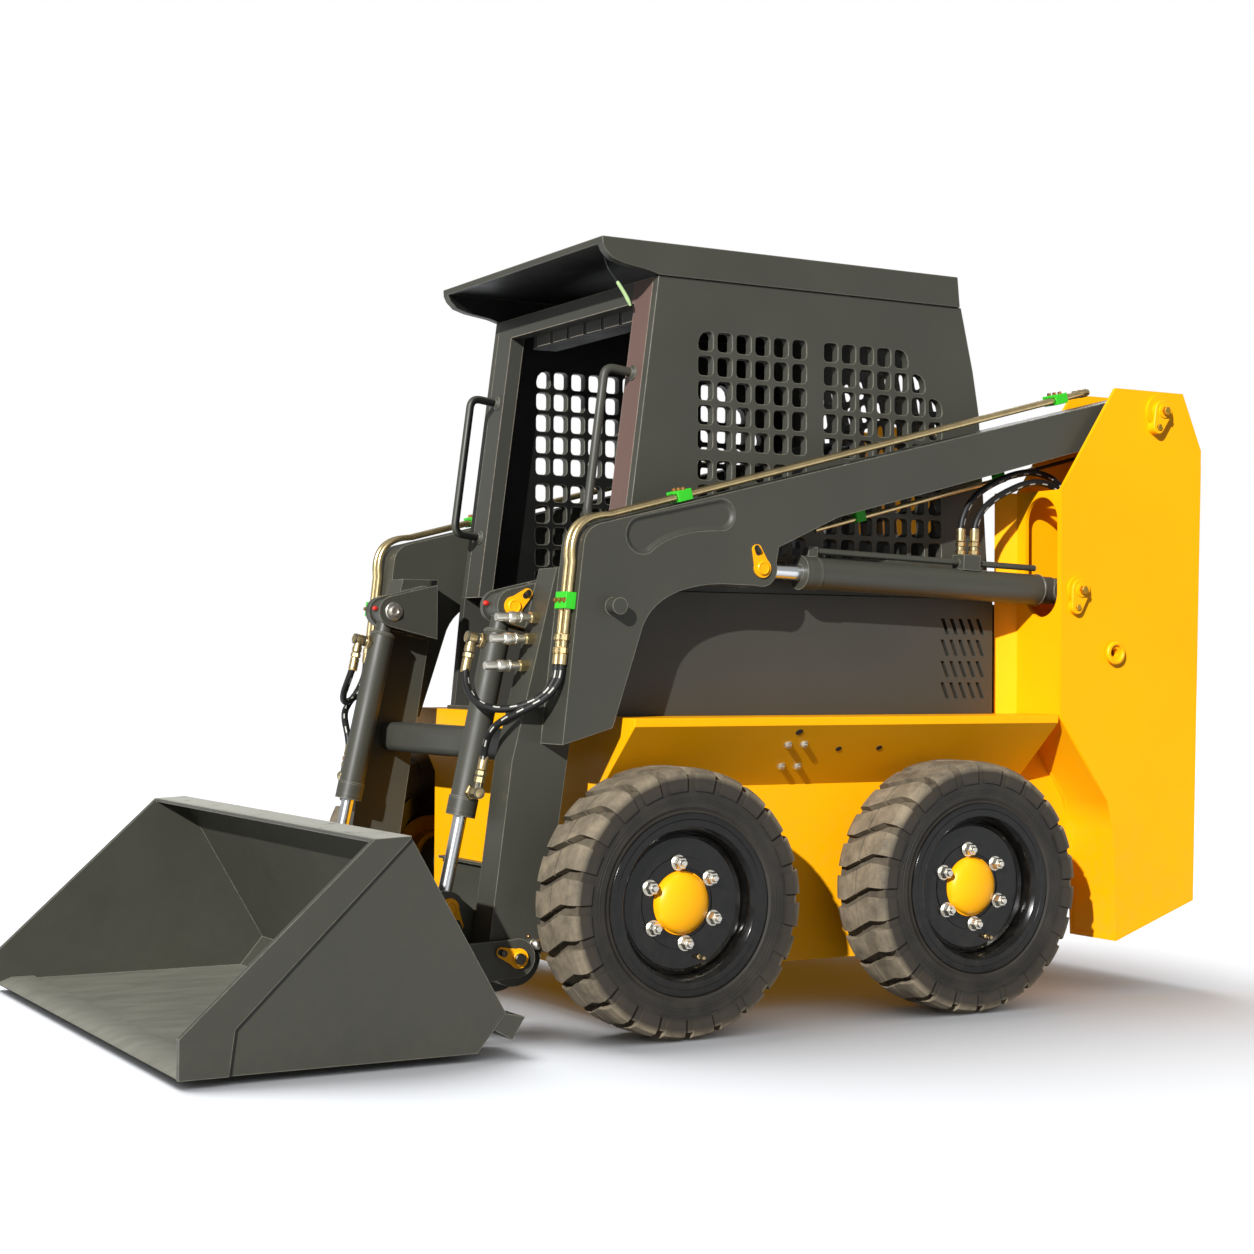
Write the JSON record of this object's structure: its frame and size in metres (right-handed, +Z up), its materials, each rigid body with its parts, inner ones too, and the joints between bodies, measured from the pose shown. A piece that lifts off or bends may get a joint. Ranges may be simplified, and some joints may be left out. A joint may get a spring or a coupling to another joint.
{
  "type": "skid steer loader",
  "caption": "Compact skid steer loader with a caged cab, lift arms on rear towers, hydraulic cylinders, a wide bucket and chunky tyres.",
  "frame": {"origin": "on the ground, at the middle of the machine's length and width", "axes": "+X forward to the bucket, +Y to the driver's left, +Z up"},
  "size_m": [3.194, 1.668, 2.085],
  "materials": {
    "yellow_paint": "gloss",
    "black_gloss_paint": "gloss",
    "primer_paint": "satin",
    "charcoal_paint": "satin",
    "edge_steel": "satin",
    "cast_engine": "matte",
    "seat_vinyl": "satin",
    "lever_plastic": "matte",
    "zinc_plate": "satin",
    "clamp_plastic": "satin",
    "orange_paint": "gloss",
    "chromed_rod": "polished",
    "tyre_rubber": "matte",
    "black_rim_paint": "gloss",
    "hose_rubber": "matte"
  },
  "bodies": {
    "chassis": {"main_frame": "yellow_paint", "axle_housings": "black_gloss_paint", "tower_left": "yellow_paint", "tower_right": "yellow_paint", "engine_block": "cast_engine", "engine_hood": "black_gloss_paint", "side_cover_left": "black_gloss_paint", "side_cover_right": "black_gloss_paint", "cab_side_left": "charcoal_paint", "cab_side_right": "charcoal_paint", "cab_rear": "charcoal_paint", "cab_roof": "charcoal_paint", "cab_front_frame": "primer_paint", "cab_floor": "charcoal_paint", "seat_base": "charcoal_paint", "seat_cushion": "seat_vinyl", "seat_backrest": "seat_vinyl", "control_levers": "lever_plastic", "grab_handles": "charcoal_paint", "lift_hoses_left": "hose_rubber", "lift_hoses_right": "hose_rubber"},
    "rear_door": {"rear_door": "yellow_paint"},
    "lift_arm": {"arm_left": "charcoal_paint", "arm_right": "charcoal_paint", "arm_cross_tube": "charcoal_paint", "arm_pipes": "zinc_plate", "pipe_clamps": "clamp_plastic", "quick_couplers": "zinc_plate", "pin_keepers": "orange_paint", "tilt_hoses_left": "hose_rubber", "tilt_hoses_right": "hose_rubber"},
    "bucket": {"bucket_shell": "charcoal_paint", "cutting_edge": "edge_steel", "hitch_frame": "charcoal_paint", "hitch_keepers": "orange_paint"},
    "lift_barrel_left": {"lift_barrel_left": "charcoal_paint"},
    "lift_rod_left": {"lift_rod_left": "chromed_rod"},
    "tilt_barrel_left": {"tilt_barrel_left": "charcoal_paint"},
    "tilt_rod_left": {"tilt_rod_left": "chromed_rod"},
    "lift_barrel_right": {"lift_barrel_right": "charcoal_paint"},
    "lift_rod_right": {"lift_rod_right": "chromed_rod"},
    "tilt_barrel_right": {"tilt_barrel_right": "charcoal_paint"},
    "tilt_rod_right": {"tilt_rod_right": "chromed_rod"},
    "wheel_front_left": {"tyre_front_left": "tyre_rubber", "rim_front_left": "black_rim_paint", "hub_front_left": "orange_paint"},
    "wheel_front_right": {"tyre_front_right": "tyre_rubber", "rim_front_right": "black_rim_paint", "hub_front_right": "orange_paint"},
    "wheel_rear_left": {"tyre_rear_left": "tyre_rubber", "rim_rear_left": "black_rim_paint", "hub_rear_left": "orange_paint"},
    "wheel_rear_right": {"tyre_rear_right": "tyre_rubber", "rim_rear_right": "black_rim_paint", "hub_rear_right": "orange_paint"}
  },
  "joints": [
    {"name": "arm_lift", "type": "hinge", "parent": "chassis", "child": "lift_arm", "pos_m": [-1.423, 0, 1.709], "axis": [0, -1, 0], "range_deg": [0, 60]},
    {"name": "bucket_tilt", "type": "hinge", "parent": "lift_arm", "child": "bucket", "pos_m": [0.62, 0, 0.2], "axis": [0, 1, 0], "range_deg": [-20, 88]},
    {"name": "door_swing", "type": "hinge", "parent": "chassis", "child": "rear_door", "pos_m": [-1.562, 0.484, 0], "axis": [0, 0, -1], "range_deg": [0, 90]},
    {"name": "lift_swing_left", "type": "hinge", "parent": "chassis", "child": "lift_barrel_left", "pos_m": [-1.115, 0.6, 1.173], "axis": [0, -1, 0], "range_deg": [0, 59.25], "deforming": ["lift_hoses_left"]},
    {"name": "lift_stroke_left", "type": "slide", "parent": "lift_barrel_left", "child": "lift_rod_left", "axis": [0.9994, 0, 0.0338], "range_m": [0, 0.61795]},
    {"name": "tilt_swing_left", "type": "hinge", "parent": "lift_arm", "child": "tilt_barrel_left", "pos_m": [0.58, 0.38, 1.1], "axis": [0, 1, 0], "range_deg": [-0.72, 3.19], "deforming": ["tilt_hoses_left"]},
    {"name": "tilt_stroke_left", "type": "slide", "parent": "tilt_barrel_left", "child": "tilt_rod_left", "axis": [0.2129, 0, -0.9771], "range_m": [-0.05467, 0.24053]},
    {"name": "lift_swing_right", "type": "hinge", "parent": "chassis", "child": "lift_barrel_right", "pos_m": [-1.115, -0.6, 1.173], "axis": [0, -1, 0], "range_deg": [0, 59.25], "deforming": ["lift_hoses_right"]},
    {"name": "lift_stroke_right", "type": "slide", "parent": "lift_barrel_right", "child": "lift_rod_right", "axis": [0.9994, 0, 0.0338], "range_m": [0, 0.61795]},
    {"name": "tilt_swing_right", "type": "hinge", "parent": "lift_arm", "child": "tilt_barrel_right", "pos_m": [0.58, -0.38, 1.1], "axis": [0, 1, 0], "range_deg": [-0.72, 3.19], "deforming": ["tilt_hoses_right"]},
    {"name": "tilt_stroke_right", "type": "slide", "parent": "tilt_barrel_right", "child": "tilt_rod_right", "axis": [0.2129, 0, -0.9771], "range_m": [-0.05467, 0.24053]},
    {"name": "roll_front_left", "type": "hinge", "parent": "chassis", "child": "wheel_front_left", "pos_m": [0.265, 0.717, 0.345], "axis": [0, 1, 0], "continuous": true},
    {"name": "roll_front_right", "type": "hinge", "parent": "chassis", "child": "wheel_front_right", "pos_m": [0.265, -0.717, 0.345], "axis": [0, 1, 0], "continuous": true},
    {"name": "roll_rear_left", "type": "hinge", "parent": "chassis", "child": "wheel_rear_left", "pos_m": [-0.665, 0.717, 0.345], "axis": [0, 1, 0], "continuous": true},
    {"name": "roll_rear_right", "type": "hinge", "parent": "chassis", "child": "wheel_rear_right", "pos_m": [-0.665, -0.717, 0.345], "axis": [0, 1, 0], "continuous": true}
  ],
  "couplings": [
    {"joint": "lift_swing_left", "follows": "arm_lift", "ratio": 0.98744},
    {"joint": "lift_stroke_left", "follows": "arm_lift", "m_per_rad": 0.59009},
    {"joint": "tilt_swing_left", "follows": "bucket_tilt", "ratio": 0.036206},
    {"joint": "tilt_stroke_left", "follows": "bucket_tilt", "m_per_rad": 0.1566},
    {"joint": "lift_swing_right", "follows": "arm_lift", "ratio": 0.98744},
    {"joint": "lift_stroke_right", "follows": "arm_lift", "m_per_rad": 0.59009},
    {"joint": "tilt_swing_right", "follows": "bucket_tilt", "ratio": 0.036206},
    {"joint": "tilt_stroke_right", "follows": "bucket_tilt", "m_per_rad": 0.1566}
  ]
}
